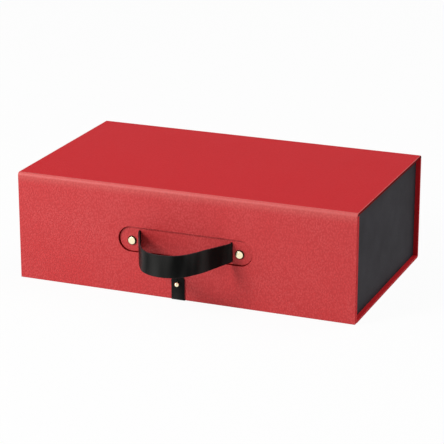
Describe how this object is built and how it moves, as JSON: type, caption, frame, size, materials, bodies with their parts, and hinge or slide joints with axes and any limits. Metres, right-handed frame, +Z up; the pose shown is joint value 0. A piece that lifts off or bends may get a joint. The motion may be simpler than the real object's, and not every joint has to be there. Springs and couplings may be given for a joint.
{
  "type": "magnetic gift box",
  "caption": "Rigid book-style gift box: hinged lid and magnetic front flap around a fixed tray, leather strap handle in a sunken plate, tab and ball-stud closure.",
  "frame": {"origin": "centre of the box's underside, on the surface it stands on; the handle and tab stand out past the box's depth and don't count", "axes": "+X to the right along the box's length as seen from the front; +Z up; the flap with the handle faces -Y and the spine +Y"},
  "size_m": [0.34, 0.2584, 0.1064],
  "materials": {
    "greyboard": "matte",
    "red_leatherette_paper": "satin",
    "black_paper": "matte",
    "stay_paper": "matte",
    "black_leather": "satin",
    "polished_brass": "polished",
    "nickel_magnet": "satin",
    "keeper_steel": "satin"
  },
  "bodies": {
    "base": {"base_board": "greyboard", "base_wrap": "red_leatherette_paper", "spine_board": "greyboard", "spine_wrap": "red_leatherette_paper", "tray_floor": "greyboard", "tray_front_wall": "greyboard", "tray_back_wall": "greyboard", "tray_left_wall": "greyboard", "tray_right_wall": "greyboard", "tray_wrap": "black_paper", "tray_lining": "black_paper", "corner_stays": "stay_paper", "keeper_plates": "keeper_steel", "closing_tab_tail": "black_leather", "tab_anchor_rivets": "polished_brass"},
    "lid": {"lid_board": "greyboard", "lid_wrap": "red_leatherette_paper", "lid_liner": "black_paper"},
    "flap": {"flap_outer_board": "greyboard", "flap_inner_board": "greyboard", "flap_wrap": "red_leatherette_paper", "recess_cover": "red_leatherette_paper", "flap_liner": "black_paper", "flap_magnets": "nickel_magnet", "rivet_caps": "polished_brass", "rivet_posts": "polished_brass", "strap_tails": "black_leather", "closing_stud": "polished_brass", "stud_screw": "polished_brass"},
    "handle": {"handle_strap": "black_leather"},
    "tab": {"closing_tab": "black_leather"}
  },
  "joints": [
    {"name": "lid_hinge", "type": "hinge", "parent": "base", "child": "lid", "pos_m": [0, 0.09923, 0.10563], "axis": [-1, 0, 0], "range_deg": [0, 180]},
    {"name": "flap_hinge", "type": "hinge", "parent": "lid", "child": "flap", "pos_m": [0, -0.09923, 0.10563], "axis": [-1, 0, 0], "range_deg": [0, 180]},
    {"name": "handle_swing", "type": "hinge", "parent": "flap", "child": "handle", "pos_m": [0.0023, -0.0961, 0.0537], "axis": [-1, 0, 0], "range_deg": [-12, 12], "stiffness_Nm_per_rad": 0.15},
    {"name": "tab_hinge", "type": "hinge", "parent": "base", "child": "tab", "pos_m": [-0.0043, -0.10125, 0.00005], "axis": [1, 0, 0], "range_deg": [0, 90], "deforming": ["closing_tab"]}
  ]
}
